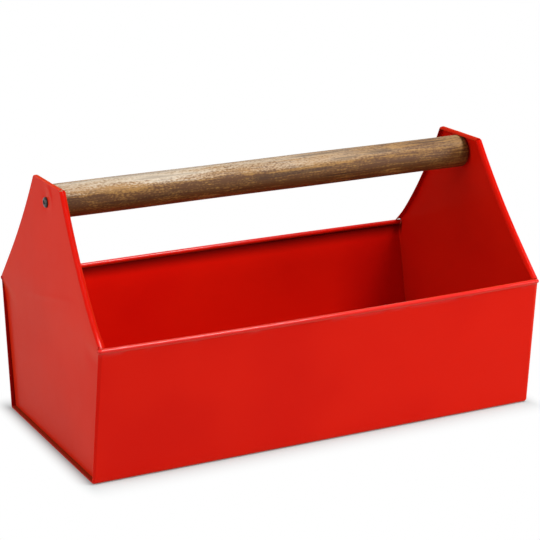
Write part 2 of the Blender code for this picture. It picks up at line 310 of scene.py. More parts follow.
def bead_section():
    """The hollow and the roll: an arc bent outwards, then an arc of the bead round its own middle."""
    middle = fillet_middle()
    to_wall = pi - asin(flare_sin)
    to_bead = np.arctan2(bead_z - middle[1], bead_y - middle[0])
    hollow = spaced(to_wall, to_bead, FILLET_COLUMNS)
    roll = spaced(to_bead - pi, BEAD_CLOSE, ROLL_COLUMNS)[1:]
    hollow_points = middle + BEAD_FILLET * stack([np.cos(hollow), np.sin(hollow)])
    return join([hollow_points, BEAD_MIDDLE + BEAD_RADIUS * stack([np.cos(roll), np.sin(roll)])])


section_places, section_inward = trough_section()
print("section:", len(section_places), "points to the bead and", len(bead_section()), "round it")

# %% [markdown]
# Each end of the trough is folded back on itself over the end panel's flange, so the panel sits in a
# shallow recess. In the photograph a narrow band runs down the wall beside the fold, where the sheet
# already leans towards the end: about 3 mm wide under the bead and 2 mm at the floor. So the fold has
# three parts: an easy bend by some degrees, a flat run, and a round fold through the rest of a half
# turn. The bend and the run fix how deep the round fold starts, and that fixes its radius. Between the
# ends a wall of thin sheet is never quite flat: it has slow waves, and the front one's top sags a little.

# %% Folded ends of the trough
LEAN_FLOOR = radians(30)               # how far the band beside the fold leans towards the end
LEAN_TOP = radians(21)
LEAN_RADIUS = 0.0015
BAND_FLOOR = 0.0009                    # width of the band's flat part
BAND_TOP = 0.0022
FOLD_THICKNESS = 0.0024                # over all its layers
BEND_COLUMNS = 6
FOLD_COLUMNS = 8
RETURN_COLUMNS = 4
LENGTH_COLUMNS = 81
END_COLUMN = 0.998                     # a close last column keeps the bend's shading off the flat wall
WAVE_HEIGHT = 0.00022
WAVES = ((1, 21, 0, 0.6), (0.6, 47, 26, 2.1))   # share, radians a metre along and up, start
WAVE_FADE = 8                          # a high power keeps them whole until close to the ends
HOLD_COLUMNS = 4                       # from this far round the bead its end is quite free of the wall
FRONT_SAG = 0.0017                     # at mid-length the front wall's top is this much lower
REAR_SAG = -0.0008                     # and the rear wall's a little higher


def rim_end(z):
    """Half-length of the trough over its ends at height z: it narrows a little towards the top."""
    return HALF_FLOOR + (HALF_WALL_TOP - HALF_FLOOR) * z / WALL_HEIGHT


def inset_face(z):
    """Distance from the box's middle to the end panel where it stands in the recess."""
    return HALF_FLOOR - PANEL_INSET - PANEL_LEAN * z


def side_face(z):
    """The same along the panel's sides, which come out of the recess under the beads."""
    low, high = SIDE_SETBACK
    return inset_face(z) + (HALF_WALL_TOP - inset_face(z)) * ease((z - low) / (high - low))


def fold_sizes(z):
    """Lean of the band, where the band ends (run and depth) and the round fold's radius."""
    share = np.atleast_1d(z)[:, None] / WALL_HEIGHT
    lean = LEAN_FLOOR + (LEAN_TOP - LEAN_FLOOR) * share
    band = BAND_FLOOR + (BAND_TOP - BAND_FLOOR) * share
    run = LEAN_RADIUS * np.sin(lean) + band * np.cos(lean)
    deep = LEAN_RADIUS * (1 - np.cos(lean)) + band * np.sin(lean)
    return lean, run, deep, (FOLD_THICKNESS - deep) / (1 + np.cos(lean))


def rim_edge(z):
    """Outer half of the fold: the easy bend, the band and the round fold until it points inwards.

    Returns how far each point lies from the end of the trough and how deep, one row for each height.
    """
    lean, run, deep, radius = fold_sizes(z)
    bend = lean * spaced(0, 1, BEND_COLUMNS)[None]
    fold = lean + (pi / 2 - lean) * spaced(0, 1, FOLD_COLUMNS)[None]
    fold_run = run + radius * (np.sin(fold) - np.sin(lean))
    fold_deep = deep + radius * (np.cos(lean) - np.cos(fold))
    along = join([LEAN_RADIUS * np.sin(bend), fold_run], axis=1)
    depth = join([LEAN_RADIUS * (1 - np.cos(bend)), fold_deep], axis=1)
    return along - along[:, -1:], depth


def rim_return(z):
    """Inner half of the fold: the second quarter of the round, then straight back to the panel."""
    radius = fold_sizes(z)[3]
    turn = spaced(0, pi / 2, FOLD_COLUMNS)[None]
    quarter = rim_end(np.atleast_1d(z))[:, None] + radius * (np.cos(turn) - 1)
    quarter_deep = FOLD_THICKNESS - radius * (1 - np.sin(turn))
    back = spaced(0, 1, RETURN_COLUMNS)[None, 1:]
    panel = side_face(np.atleast_1d(z))[:, None] + RETURN_CLEARANCE
    straight = quarter[:, -1:] + (panel - quarter[:, -1:]) * back
    x = join([quarter, straight], axis=1)
    return x, join([quarter_deep, 0 * straight + FOLD_THICKNESS], axis=1)


def wall_waves(x, z):
    """Depth of the wall's slow unevenness: two long waves along it, gone at floor, bead and ends."""
    rise = np.sin(pi * np.clip(z / WALL_HEIGHT, 0, 1)) ** 2
    fade = 1 - (x / HALF_WALL_TOP) ** WAVE_FADE
    waves = sum(share * np.sin(x * along + z * up + start) for share, along, up, start in WAVES)
    return WAVE_HEIGHT * rise * fade * waves


def sweep(x, depth, places, inward):
    """Grid of the sheet: each row is a place of the section, pushed in by depth, at the lengths x."""
    flat = places[:, None] + depth[..., None] * inward[:, None]
    return in_space(x, flat)


def mirrored(patch, axis):
    """The same grid on the other side, along X (0) or Y (1)."""
    copy = patch.copy()
    copy[..., axis] *= -1
    return copy


def half_trough():
    """The half of the trough at positive Y: face, folded ends and bead."""
    z = section_places[:, 1]
    run, deep = rim_edge(z)
    end_x = rim_end(z)[:, None] + run
    share = join([[-1], spaced(-END_COLUMN, END_COLUMN, LENGTH_COLUMNS), [1]])
    middle_x = end_x[:, :1] * share[None]
    face = sweep(middle_x, wall_waves(middle_x, z[:, None]), section_places, section_inward)
    edge = sweep(end_x, deep, section_places, section_inward)
    folded = z <= RIM_TOP
    back_x, back_deep = rim_return(z[folded])
    back = sweep(back_x, back_deep, section_places[folded], section_inward[folded])
    grids = [face]
    for patch in (edge, back):
        grids += [patch, mirrored(patch, 0)]
    return grids + [bead_grid(middle_x[-1], end_x[-1], deep[-1])]


def bead_grid(middle_x, end_x, end_deep):
    """The bead along the whole wall, narrowed to a rounded end at both ends.

    Towards an end the roll shrinks about its own middle like the end of a rounded rod and stands a
    little proud, while its first line stays on the wall's top line.
    """
    x = join([-end_x[::-1], middle_x[1:-1], end_x])
    deep = join([end_deep[::-1], 0 * middle_x[1:-1], end_deep])
    section = bead_section()
    past = np.clip((np.abs(x) - (end_x[-1] - BEAD_END_LENGTH)) / BEAD_END_LENGTH, 0, 1)
    least = BEAD_END_RADIUS / BEAD_RADIUS
    scale = least + (1 - least) * np.sqrt(np.clip(1 - past**2, 0, 1))
    hold = ease(np.arange(len(section)) / (FILLET_COLUMNS + HOLD_COLUMNS))[:, None]
    shrink = 1 - hold * (1 - scale[None])
    flat = BEAD_MIDDLE + (section - BEAD_MIDDLE)[:, None] * shrink[..., None]
    flat = flat + (1 - hold)[..., None] * deep[None, :, None] * WALL_INWARD
    reach = x[None] + BEAD_OVERHANG * hold * (np.sign(x) * past)[None]
    return in_space(reach, flat)


def sagged(patch, drop):
    """The grid with its top lowered by drop at mid-length: the wall gives a little between the ends."""
    lowered = patch.copy()
    along = np.clip(1 - (patch[..., 0] / HALF_WALL_TOP) ** 2, 0, 1)
    lowered[..., 2] -= drop * along * (np.clip(patch[..., 2], 0, None) / WALL_HEIGHT) ** 4
    return lowered


def bead_gloss():
    """Gloss along the bead's section: full, but for the roll's end, which looks down and in and gets
    painted shade.
    """
    from_end = np.arange(len(bead_section()))[::-1]
    return ease((from_end - DULL_ROLL_COLUMNS) / DULL_ROLL_COLUMNS)[:, None]


def make_trough():
    half = half_trough()
    rear = [sagged(patch, REAR_SAG) for patch in half]
    front = [sagged(mirrored(patch, 1), FRONT_SAG) for patch in half]
    gloss = [0] * (len(half) - 1) + [bead_gloss()]
    return sheet_piece("planter_trough", rear + front, gloss * 2, (0, 0, -1), SHEET)


trough = make_trough()

# %% [markdown]
# An end panel is a flat sheet with a house-shaped outline, but not quite flat: its lower part stands in
# the recess of the rim, it comes out level with the beads above it, and from there up it leans inwards.
# Near the peak the screw pulls a shallow dish into it, and the dowel's end behind presses a faint
# ridge. The left panel has a faint crease as well. All of that is one formula for the height of the
# skin over the Y-Z plane, so every grid that reads it meets its neighbours exactly.

# %% Skin of an end panel
KINK_HEIGHT = 0.134                    # above this the panel leans inwards
KINK_SOFTNESS = 0.009
MIDDLE_SETBACK = (0.080, 0.128)        # between these heights its middle comes out of the recess
SIDE_START = 0.080                     # from here on outwards the sides' quicker step sets in
SIDE_WIDTH = 0.030
DISH_DEPTH = 0.0007
DISH_RADIUS = 0.0062
RIDGE_HEIGHT = 0.00055
RIDGE_INNER = 0.007                    # the ridge rises over this width from inside the dowel's outline
RIDGE_OUTER = 0.0022                   # and falls over this width outside it
BULGE = 0.0007
CREASE_MIDDLE = 0.1285                 # height of the crease at the panel's middle
CREASE_SLOPE = 0.2
CREASE_WIDTH = 0.0026
CREASE_PLACE = -0.006                  # the crease is strongest this far from the middle
CREASE_REACH = 0.062
handle_low, handle_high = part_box("wooden_handle")
AXIS_HEIGHT = (handle_low.z + handle_high.z) / 2
DOWEL_RADIUS = (handle_high.z - handle_low.z) / 2


def screw_dish(y, z):
    """Depth of the dish: a bell curve of the distance from the screw's axis."""
    distance = np.hypot(y, z - AXIS_HEIGHT)
    return DISH_DEPTH * np.exp(-((distance / DISH_RADIUS) ** 2))


def dowel_ridge(y, z, direction):
    """Height of the ridge: a crest on the dowel's outline, strongest towards one direction."""
    distance = np.hypot(y, z - AXIS_HEIGHT)
    off = distance - DOWEL_RADIUS
    width = np.where(off < 0, RIDGE_INNER, RIDGE_OUTER)
    angle = np.arctan2(z - AXIS_HEIGHT, y) - direction
    towards = np.clip(np.cos(angle), 0, 1) ** 3
    return RIDGE_HEIGHT * np.exp(-((off / width) ** 2)) * towards


def crease(y, z):
    """A faint crease across the panel, from 0 to 1: a bell curve about a line that rises to the front."""
    off = z - (CREASE_MIDDLE - CREASE_SLOPE * y)
    along = np.clip(1 - ((y - CREASE_PLACE) / CREASE_REACH) ** 2, 0, 1)
    return np.exp(-((off / CREASE_WIDTH) ** 2)) * along


def panel_skin(y, z, ridge_direction):
    """Distance of the panel's outer face from the box's middle.

    The inset face, plus an eased step out of the recess that is quicker at the sides, less a lean that
    sets in softly above the kink, plus a slight bulge between the rims, less the screw's dish, plus
    the dowel's ridge.
    """
    low, high = MIDDLE_SETBACK
    inset = inset_face(z)
    slow = (HALF_WALL_TOP - inset) * ease((z - low) / (high - low))
    quick = side_face(z) - inset
    step = slow + (quick - slow) * ease((np.abs(y) - SIDE_START) / SIDE_WIDTH)
    above = z - KINK_HEIGHT
    rise = 0.5 * (above + np.sqrt(above**2 + KINK_SOFTNESS**2))
    lean = (HALF_WALL_TOP - HALF_PEAK) * rise / (PEAK_HEIGHT - KINK_HEIGHT)
    wide = np.clip(1 - (y / FLOOR_CORNER) ** 2, 0, 1)
    bulge = BULGE * wide * np.sin(pi * np.clip(z / KINK_HEIGHT, 0, 1)) ** 2
    return inset + step - lean + bulge - screw_dish(y, z) + dowel_ridge(y, z, ridge_direction)


print("panel skin at the kink:", round(float(panel_skin(0.05, KINK_HEIGHT, 0)), 5))

# %% [markdown]
# The outline has three stretches. Below the bead it follows the trough's section a little further in.
# Beside the bead it is cut away, so the bead can pass. Above it runs up the slant, which is slightly
# hollow, round the corner of the peak and across. A level row of points spans each pair of edge points.
# Two inner columns line up with the cut-out, so the rows on both sides of it share their points.

# %% Outline and face of an end panel
EDGE_BEND = 0.0012                     # outer radius of the bend along the slants and the peak
SLANT_LOW = np.array([HALF_WIDTH - BEAD_PROUD - SEAM_GAP, WALL_HEIGHT + 0.0005])
SLANT_HIGH = np.array([HALF_PEAK_WIDTH, PEAK_HEIGHT])
SLANT_SAG = 0.0045
SLANT_FLANGE_START = 0.0006            # the slant's flange starts this far above the bead
PEAK_NOTCH = 0.0008                    # the slant's flange stops this far from the peak's corner
TOP_NOTCH = 0.0002                     # and the peak's flange this far
BEAD_CLEARANCE = 0.0002
HELD_BEND = 0.0005                     # inner radius of the bend into the flange that the rim holds
HELD_DEPTH = SHEET + SEAM_GAP + SHEET
HELD_TIP_CLEARANCE = 0.0021
HELD_TOP = 0.095
FREE_DEPTH = 0.0015                    # above the held flange the edge lies this deep in the wall
FREE_EASE = 0.004                      # and reaches that depth over this height
MIDDLE_COLUMNS = 97
LOWER_ROWS = 60
SETBACK_ROWS = 22
SLANT_ROWS = 70
CORNER_ROWS = 7


def slant(t):
    """Edge of the slant and its outward direction, from the bead (0) to the peak (1): a parabola."""
    t = np.atleast_1d(t)[:, None]
    chord = SLANT_HIGH - SLANT_LOW
    across = np.array([chord[1], -chord[0]]) / np.hypot(*chord)
    place = SLANT_LOW + chord * t - across * (4 * SLANT_SAG * t * (1 - t))
    along = chord - across * (4 * SLANT_SAG * (1 - 2 * t))
    outward = stack([along[:, 1], -along[:, 0]])
    return place, outward / np.linalg.norm(outward, axis=1, keepdims=True)


def slant_steps():
    """Where along the slant its flange has points: from above the bead to the notch at the peak."""
    length = np.hypot(*(SLANT_HIGH - SLANT_LOW))
    return spaced(SLANT_FLANGE_START / length, 1 - PEAK_NOTCH / length, SLANT_ROWS)


def lower_edge():
    """Edge points and inward directions from the floor up to the end of the held flange."""
    corner = slice(FLOOR_COLUMNS - 1, FLOOR_COLUMNS + CORNER_COLUMNS - 1)
    wall = on_wall(spaced(section_places[corner][-1, 1], HELD_TOP, LOWER_ROWS)[1:])
    inward = join([section_inward[corner], 0 * wall + WALL_INWARD])
    places = join([section_places[corner], wall])
    return places, inward, places + (HELD_DEPTH + HELD_BEND) * inward


def free_edge():
    """Edge from the end of the held flange to the cut-out: it widens until it nearly meets the wall."""
    top = bead_z - BEAD_RADIUS - BEAD_CLEARANCE
    z = spaced(HELD_TOP, top, SETBACK_ROWS)
    held = HELD_DEPTH + HELD_BEND
    depth = held + (FREE_DEPTH - held) * ease((z - HELD_TOP) / FREE_EASE)
    return on_wall(z) + depth[:, None] * WALL_INWARD


def peak_corner(last_edge):
    """Rounded corner of the peak: a quadratic curve between the two bends, drawn to their meeting."""
    top_z = PEAK_HEIGHT - EDGE_BEND
    end = np.array([HALF_PEAK_WIDTH - EDGE_BEND - TOP_NOTCH, top_z])
    chord = SLANT_HIGH - SLANT_LOW
    meet = np.array([last_edge[0] + chord[0] / chord[1] * (top_z - last_edge[1]), top_z])
    t = spaced(0, 1, CORNER_ROWS)[1:, None]
    return (1 - t) ** 2 * last_edge + 2 * t * (1 - t) * meet + t**2 * end


def upper_edge():
    """Edge above the bead: where the slant's bend starts, then round the peak's corner."""
    steps = slant_steps()
    first = spaced(0, steps[0], 4)[:-1]
    place, outward = slant(join([first, steps]))
    bend_start = place - EDGE_BEND * outward
    return join([bend_start, peak_corner(bend_start[-1])])


def face_rows(edges, inner_share, skin):
    """Level rows of the face between mirrored edge points, through columns at a share of the edge."""
    middle = spaced(-1, 1, MIDDLE_COLUMNS) * inner_share
    share = join([[-1], middle, [1]])
    y = edges[:, :1] * share[None]
    z = edges[:, 1:] + 0 * y
    return stack([skin(y, z), y, z])


print("outline:", len(lower_edge()[0]) + SETBACK_ROWS + len(upper_edge()), "points on each side")

# %% [markdown]
# The slants and the peak end in a flange that is bent inwards and curls down a little at its tip, which
# gives the photographed edge its two tones. The sides and the bottom end in a flange bent outwards, which
# the trough's folded rim grips. Both are profiles carried along the outline.

# %% Flanges and the whole panel
FLANGE_CREST = 0.0027                  # the inward flange is level to this depth
FLANGE_DEPTH = 0.0055
SLANT_LIP_DROP = 0.0019
PEAK_LIP_DROP = 0.0017
BEND_GLOSS = 0.7                       # share of the beads' gloss on the peak's bend
CREST_GLOSS = 1.0                      # and on the crest of the slant's flange
LIP_START = 0.40                       # over the bead the lip has this share of its droop
LIP_EASE = 0.012                       # and gains the rest over this height
LIP_CURL = 1.8                         # the droop grows with this power of the way to the tip
FLANGE_BEND_COLUMNS = 7
LIP_COLUMNS = 9
CREST_COLUMNS = 1.5                    # the crest's glossy line reaches this far to both sides
BETWEEN_ROWS = 5                       # rows of the face between the two bead cut-outs


def inward_flange(edge, outward, lip_drop, skin):
    """Flange along an edge: a profile stands on each edge point, along its outward direction.

    The profile's depth behind the face and its rise over the edge follow a quarter circle, then a
    level run, and then a lip that droops by lip_drop, given for each edge point.
    """
    turn = spaced(0, pi / 2, FLANGE_BEND_COLUMNS)
    t = spaced(0, 1, LIP_COLUMNS)
    lip_depth = FLANGE_CREST + (FLANGE_DEPTH - FLANGE_CREST) * t
    depth = join([EDGE_BEND * (1 - np.cos(turn)), lip_depth])
    bend_rise = join([EDGE_BEND * (np.sin(turn) - 1), 0 * t])
    droop = join([0 * turn, t**LIP_CURL])
    rise = bend_rise[None] - lip_drop[:, None] * droop[None]
    start = edge - EDGE_BEND * outward
    face = skin(start[:, 0], start[:, 1])
    flat = edge[:, None] + rise[..., None] * outward[:, None]
    x = face[:, None] - depth[None]
    return in_space(x, flat)


def held_flange(places, inward, skin):
    """Flange along the trough's section: a bend outwards, then straight on between the rim's layers."""
    turn = spaced(0, pi / 2, FLANGE_BEND_COLUMNS)
    flat_depth = HELD_DEPTH + HELD_BEND
    start = places + flat_depth * inward
    face = skin(start[:, 0], start[:, 1])[:, None]
    bend_x = face + HELD_BEND * (1 - np.cos(turn))[None]
    tip_x = rim_end(places[:, 1:]) - HELD_TIP_CLEARANCE
    depth = join([flat_depth - HELD_BEND * np.sin(turn), [HELD_DEPTH]])
    flat = places[:, None] + depth[None, :, None] * inward[:, None]
    x = join([bend_x, tip_x], axis=1)
    return in_space(x, flat)


def bottom_flange(first_section, face_row):
    """The same flange along the floor: its first section repeated at every column of the face."""
    wide = np.repeat(first_section[None], len(face_row), axis=0)
    wide[..., 1] = face_row[:, None, 1]
    wide[:, 0] = face_row
    return wide


def panel_grids(skin):
    places, inward, held_edges = lower_edge()
    lower = join([held_edges, free_edge()[1:]])
    upper = upper_edge()
    cutout_y = bead_y - BEAD_RADIUS - BEAD_CLEARANCE
    lower_face = face_rows(lower, cutout_y / lower[-1, 0], skin)
    upper_face = face_rows(upper, cutout_y / upper[0, 0], skin)
    between_z = spaced(lower[-1, 1], upper[0, 1], BETWEEN_ROWS)
    between = face_rows(stack([0 * between_z + cutout_y, between_z]), 1, skin)[:, 1:-1]

    slant_edge, slant_out = slant(slant_steps())
    from_start = slant_edge[:, 1] - slant_edge[0, 1]
    slant_drop = SLANT_LIP_DROP * (LIP_START + (1 - LIP_START) * ease(from_start / LIP_EASE))
    slant_flange = inward_flange(slant_edge, slant_out, slant_drop, skin)
    top_y = upper_face[-1][:, 1]
    top_edge = stack([top_y, 0 * top_y + PEAK_HEIGHT])
    up = stack([0 * top_y, 0 * top_y + 1])
    top_flange = inward_flange(top_edge, up, 0 * top_y + PEAK_LIP_DROP, skin)
    side_flange = held_flange(places, inward, skin)
    grids = [lower_face, between, upper_face]
    for patch in (side_flange, slant_flange):
        grids += [patch, mirrored(patch, 1)]
    return grids + [bottom_flange(side_flange[0], lower_face[0]), top_flange]


def panel_gloss(shine_reach):
    """Gloss marks of each grid in the same order: none on the face's three and on the held flanges.

    The peak's bend is glossy and the inward flanges are dull, but for a glossy line along the crest of
    the slant's flange that reaches up from the bead. Where dull, the paint also takes painted shade.
    """
    dull = -ease(spaced(0, 2, FLANGE_BEND_COLUMNS + LIP_COLUMNS))
    shine = BEND_GLOSS * np.sin(pi * np.clip(spaced(0, 2, len(dull)), 0, 1))
    above_bead = (slant_steps() - slant_steps()[0]) * np.hypot(*(SLANT_HIGH - SLANT_LOW))
    low = 1 - ease(above_bead / shine_reach)
    crest = ease(CREST_COLUMNS - np.abs(np.arange(len(dull)) - FLANGE_BEND_COLUMNS + 0.5))
    slant_marks = dull[None] + low[:, None] * (crest * (CREST_GLOSS - dull))[None]
    return [0] * 5 + [slant_marks] * 2 + [0, (shine + dull)[None]]


def make_panel(name, side, ridge_direction, crease_height, shine_reach):
    def skin(y, z):
        return panel_skin(y, z, ridge_direction) + crease_height * crease(y, z)

    grids = panel_grids(skin)
    if side < 0:
        grids = [mirrored(patch, 0) for patch in grids]
    return sheet_piece(name, grids, panel_gloss(shine_reach), (side, 0, 0), SHEET)


LEFT_LOOK = {"ridge_direction": radians(128), "crease_height": 0.0006, "shine_reach": 0.016}
RIGHT_LOOK = {"ridge_direction": radians(40), "crease_height": 0, "shine_reach": 0.060}
left_panel = make_panel("left_panel_sheet", -1, **LEFT_LOOK)
right_panel = make_panel("right_panel_sheet", 1, **RIGHT_LOOK)

# %% [markdown]
# The handle and the screws are turned pieces: a profile of distance along the axis and radius, carried
# round the axis. A plain lathe can't make the screw's hexagon socket, so the radius may also depend on
# the angle: a share of 1 in a profile point turns its circle into a hexagon.

# %% Turned pieces
TURN_COLUMNS = 145
HALF_DOWEL = handle_high.x
DOWEL_EASE = 0.003                     # rounding of the dowel's ends
PILOT_RADIUS = 0.0023
PILOT_DEPTH = 0.028
DOWEL_ROWS = 121
EASE_ROWS = 9
DOWEL_UNEVEN = 0.00012
UNEVEN_WAVE = 33                       # radians a metre along the dowel


def turned(along, radius, hexagon, side=1):
    """Grid round the handle's axis: circles, or hexagons where the share hexagon is 1.

    A hexagon's radius at an angle is its flat's distance over the cosine of the angle from that flat.
    """
    angle = spaced(0, 2 * pi, TURN_COLUMNS)
    from_flat = np.mod(angle, pi / 3) - pi / 6
    to_hexagon = cos(pi / 6) / np.cos(from_flat)
    shape = 1 + hexagon[:, None] * (to_hexagon[None] - 1)
    r = radius[:, None] * shape
    x = side * along[:, None] + 0 * r
    return stack([x, r * np.cos(angle)[None], AXIS_HEIGHT + r * np.sin(angle)[None]])


def turned_piece(name, grid):
    return finished(add_object(name, mesh_of_grids(name, [grid])))


def make_dowel():
    """Round dowel: pilot hole, flat end, eased edge, long side, and the same again mirrored."""
    turn = spaced(0, pi / 2, EASE_ROWS)
    ease_x = HALF_DOWEL - DOWEL_EASE * (1 - np.cos(turn))
    ease_r = DOWEL_RADIUS - DOWEL_EASE * (1 - np.sin(turn))
    hole_x = [HALF_DOWEL - PILOT_DEPTH, HALF_DOWEL - PILOT_DEPTH, HALF_DOWEL]
    hole_r = [0, PILOT_RADIUS, PILOT_RADIUS]
    right_x = join([hole_x, ease_x])
    right_r = join([hole_r, ease_r])
    side_x = spaced(HALF_DOWEL - DOWEL_EASE, DOWEL_EASE - HALF_DOWEL, DOWEL_ROWS)[1:-1]
    along = join([right_x, side_x, -right_x[::-1]])
    radius = join([right_r, 0 * side_x + DOWEL_RADIUS, right_r[::-1]])
    uneven = DOWEL_UNEVEN * (np.sin(along * UNEVEN_WAVE) - 1) * (radius > DOWEL_RADIUS - DOWEL_EASE)
    return turned_piece("carrying_dowel", turned(along, radius + uneven, 0 * along))


dowel = make_dowel()

# %% [markdown]
# The screw has a domed black head with a hexagon socket. The photograph shows it as a dark disc with a
# ring of light, so the rim of the socket and the shoulder of the dome are rounded enough to catch the
# lamps. Its plain shank hides in the dowel's pilot hole.

# %% Screws
HEAD_RADIUS = 0.0044
HEAD_HEIGHT = 0.0019
HEAD_SIDE = 0.0006
HEAD_FLAT_RADIUS = 0.0027              # the dome's flattened middle round the socket
SOCKET_RADIUS = 0.0020
SOCKET_DEPTH = 0.0014
SOCKET_ROUND = 0.00025
SHANK_RADIUS = 0.0020
SHANK_LENGTH = 0.026
SHANK_TIP = 0.005
HEAD_ROWS = 14
LEAD_ROWS = 5                          # rows of the rounding at the socket's rim
SEAT_LIFT = 0.00008


def screw_seat():
    """Where the head's underside rests: on the dish's slope, at the head's own radius."""
    edge = np.array([AXIS_HEIGHT - HEAD_RADIUS, AXIS_HEIGHT + HEAD_RADIUS])
    return float(panel_skin(0 * edge, edge, 0).mean()) + SEAT_LIFT


def screw_profile():
    """Heights over the seat, radii and hexagon shares, from the tip of the shank to the socket."""
    shoulder = spaced(0, pi / 2, HEAD_ROWS)
    dome_r = HEAD_FLAT_RADIUS + (HEAD_RADIUS - HEAD_FLAT_RADIUS) * np.cos(shoulder)
    dome_z = HEAD_SIDE + (HEAD_HEIGHT - HEAD_SIDE) * np.sin(shoulder)
    lead = spaced(0, pi / 2, LEAD_ROWS)
    lead_r = SOCKET_RADIUS + SOCKET_ROUND * (1 - np.sin(lead))
    lead_z = HEAD_HEIGHT - SOCKET_ROUND * (1 - np.cos(lead))
    floor_z = HEAD_HEIGHT - SOCKET_DEPTH
    tip = (-SHANK_LENGTH, 0)
    below = [tip, (SHANK_TIP - SHANK_LENGTH, SHANK_RADIUS), (0, SHANK_RADIUS), (0, HEAD_RADIUS)]
    head = [*below, *zip(dome_z, dome_r)]
    socket = [*zip(lead_z, lead_r), (floor_z, SOCKET_RADIUS), (floor_z - SOCKET_ROUND, 0)]
    height, radius = np.array(head + socket).T
    return height, radius, join([np.zeros(len(head)), np.ones(len(socket))])


def make_screw(name, side):
    height, radius, hexagon = screw_profile()
    return turned_piece(name, turned(screw_seat() + height, radius, hexagon, side))


left_screw = make_screw("left_socket_screw", -1)
right_screw = make_screw("right_socket_screw", 1)

# %% [markdown]
# Finishes are node materials. Writing them node by node is long, so two small classes help. A Wire
# stands for a value that runs between nodes, and arithmetic on it adds Math nodes. A Finish adds any
# other node, with its settings and the values or wires of its inputs, and has a short method for each
# kind of node that comes up often.

# %% Helpers for the finishes
class Wire:
    """A value in a node tree. Adding, subtracting, multiplying or raising it adds a Math node."""

    def __init__(self, finish, socket):
        self.finish = finish
        self.socket = socket

    def out(self, key):
        """Another output of the same node."""
        return Wire(self.finish, self.socket.node.outputs[key])

    def math(self, operation, first, second):
        return self.finish.node("Math", {0: first, 1: second}, operation=operation)

    def at_least(self, other):
        return self.math("MAXIMUM", self, other)

    def __add__(self, other):
        return self.math("ADD", self, other)

    def __radd__(self, other):
        return self.math("ADD", other, self)

    def __sub__(self, other):
        return self.math("SUBTRACT", self, other)

    def __rsub__(self, other):
        return self.math("SUBTRACT", other, self)

    def __mul__(self, other):
        return self.math("MULTIPLY", self, other)

    def __rmul__(self, other):
        return self.math("MULTIPLY", other, self)

    def __pow__(self, other):
        return self.math("POWER", self, other)


class Finish:
    """A node material, or the world's nodes, under construction."""

    def __init__(self, tree):
        self.tree = tree
        self.tree.nodes.clear()

    def node(self, kind, inputs=None, **settings):
        """Adds a shader node, sets its settings and then its inputs, and returns its first output."""
        made = self.tree.nodes.new("ShaderNode" + kind)
        for name, value in settings.items():
            setattr(made, name, value)
        for key, value in (inputs or {}).items():
            if isinstance(value, Wire):
                self.tree.links.new(value.socket, made.inputs[key])
            else:
                made.inputs[key].default_value = value
        return Wire(self, made.outputs[0]) if made.outputs else None

    def place(self):
        """Where the shaded point lies on the resting model."""
        return self.node("TexCoord").out("Object")

    def sides(self, place):
        """The place's distances from the middle along X, Y and Z, alike on both sides."""
        return self.node("SeparateXYZ", {0: self.node("VectorMath", {0: place}, operation="ABSOLUTE")})

    def noise(self, place, scale, detail):
        return self.node("TexNoise", {"Vector": place, "Scale": scale, "Detail": detail})

    def mix_colour(self, share, first, second):
        return self.node("Mix", {0: share, 6: first, 7: second}, data_type="RGBA").out(2)

    def rises(self, value, low, high):
        """0 where value is under low, 1 over high, and eased between."""
        inputs = {"Value": value, "From Min": low, "From Max": high}
        return self.node("MapRange", inputs, interpolation_type="SMOOTHSTEP")

    def falls(self, value, low, high):
        return 1 - self.rises(value, low, high)

    def bump(self, height, distance, strength):
        return self.node("Bump", {"Strength": strength, "Distance": distance, "Height": height})

    def surface(self, inputs):
        """Ends the material with a Principled shader that has these inputs."""
        self.node("OutputMaterial", {"Surface": self.node("BsdfPrincipled", inputs)})


def rgb(red, green, blue):
    return (red, green, blue, 1)


def new_finish(name):
    material = bpy.data.materials.new(name)
    material.use_nodes = True
    return material, Finish(material.node_tree)


print("finish helpers ready")

# %% [markdown]
# The box is sprayed with a glossy red enamel. Seen close, such paint isn't one flat red: its tone drifts
# slowly where it lies thicker, its gloss varies a little, and its surface has the fine pebbling called
# orange peel, with a few specks of dust under it. The base colour holds almost no green or blue, because
# what looks orange or pink in the photograph is the white room mirrored in the gloss. Inside the box and
# on thin flanges the enamel is dull. Shade is painted into the base colour as a deeper red in the rim's
# recess and inside under the beads, and more weakly on the dull flanges, because the few lamps here would
# leave those places too light.

# %% Red enamel
PAINT_DEEP = rgb(0.61, 0.0035, 0.0006)
PAINT_BRIGHT = rgb(0.65, 0.0055, 0.0008)
# painted shade: deeper reds for the rim's recess and for the inside under the beads
PAINTED_RECESS_SHADE = rgb(0.25, 0.0010, 0.0004)
PAINTED_SHADE_UNDER_BEADS = rgb(0.165, 0.0007, 0.0003)
TONE_DRIFT = (0.35, 0.65)              # the drift goes from the deep to the bright tone between these
HAZE_LEVEL = 0.03                      # the enamel's own weak and broad sheen
HAZE_ROUGHNESS = 0.42
FACE_GLOSS = 0.05                      # weight of the clear gloss on the flat faces
BEAD_GLOSS = 0.42                      # and on the beads, where the enamel has flowed together
GLOSS_DRIFT = 0.03
GLOSS_ROUGHNESS = 0.14
PATCH_ROUGHNESS = 0.10
DULL_ROUGHNESS = 0.5                   # added where the enamel is dull: inside and on the flanges
FLANGE_SHADE_SHARE = 0.35                      # share of the recess's painted shade on the dull flanges
SHEEN = 0.35                           # a trace of dust, seen only along the surface
SHEEN_ROUGHNESS = 0.4
SHEEN_TINT = rgb(1, 0.4, 0.1)
DRIFT_SIZE = 9                         # slow drifts of the paint for each metre
PATCH_SIZE = 60
PEEL_SIZE = 520                        # pebbles of the orange peel
PEEL_HEIGHT = 0.00002
PATCH_HEIGHT = 2                       # heights of a patch and of a speck, beside a pebble's
SPECK_HEIGHT = 1.5
SPECK_SIZE = 85
SPECK_REACH = 0.05
RECESS_START = (0.0015, 0.0021)        # the recess's painted shade sets in over these depths in from the wall
RECESS_END = (0.0024, 0.0028)          # and ends over these
